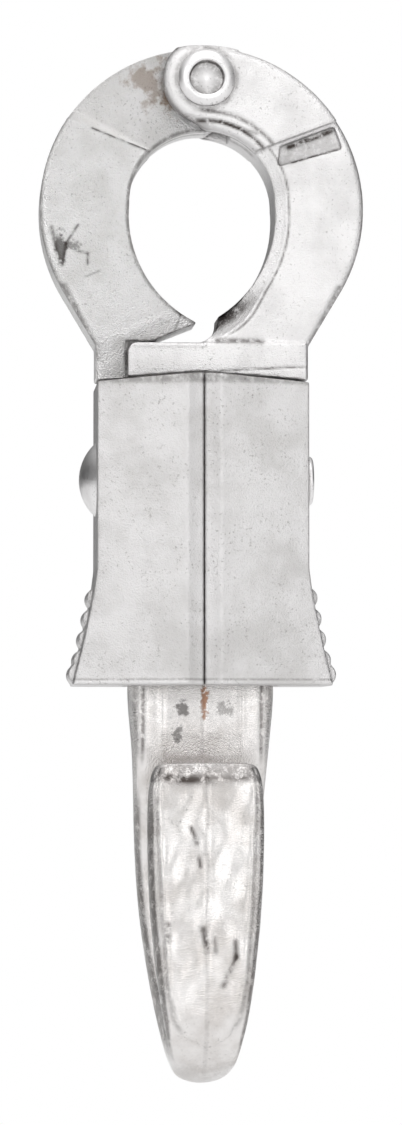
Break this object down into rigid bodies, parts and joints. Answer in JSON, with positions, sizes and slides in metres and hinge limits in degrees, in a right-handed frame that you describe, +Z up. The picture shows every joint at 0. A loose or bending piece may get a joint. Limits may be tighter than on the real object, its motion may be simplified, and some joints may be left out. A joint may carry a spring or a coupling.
{
  "type": "quick-release snap hook",
  "caption": "Hanging hook with a hinged two-jaw eye on top, a spring-loaded sliding sleeve that locks the eye shut, and an open hook below.",
  "frame": {"origin": "centre of the round part of the eye, half way through its thickness", "axes": "+Z up along the hook's length towards the hinge, +Y through the eye to the back (the hook's nose points to -Y), +X to the fixed jaw's side"},
  "size_m": [0.0394, 0.0258, 0.1263],
  "materials": {
    "jaw_casting": "satin zinc plating over a cast surface, fine dark speckle",
    "sleeve_casting": "satin zinc plating, brighter along the bends",
    "hook_plating": "bright nickel plating over a cast surface, warm grey",
    "rivet_steel": "plated steel, lightly worn",
    "spring_wire": "oiled spring steel"
  },
  "bodies": {
    "hook": {"hook_body": "hook_plating", "fixed_jaw": "jaw_casting", "pivot_rivet": "rivet_steel", "return_spring": "spring_wire", "tang_rivet_left": "rivet_steel", "tang_rivet_right": "rivet_steel"},
    "jaw": {"swing_jaw": "jaw_casting"},
    "sleeve": {"sleeve_left": "sleeve_casting", "sleeve_right": "sleeve_casting", "sleeve_pin": "rivet_steel", "spring_plunger": "spring_wire"}
  },
  "joints": [
    {"name": "sleeve_slide", "type": "slide", "parent": "hook", "child": "sleeve", "axis": [0, 0, -1], "range_m": [0, 0.0085], "stiffness_N_per_m": 600, "springref_m": -0.012, "deforming": ["return_spring"]},
    {"name": "jaw_swing", "type": "hinge", "parent": "hook", "child": "jaw", "pos_m": [0.0005, 0, 0.0151], "axis": [0, 1, 0], "range_deg": [0, 60]}
  ],
  "couplings": [
    {"joint": "jaw_swing", "follows": "sleeve_slide", "rad_per_m": 123.19}
  ]
}
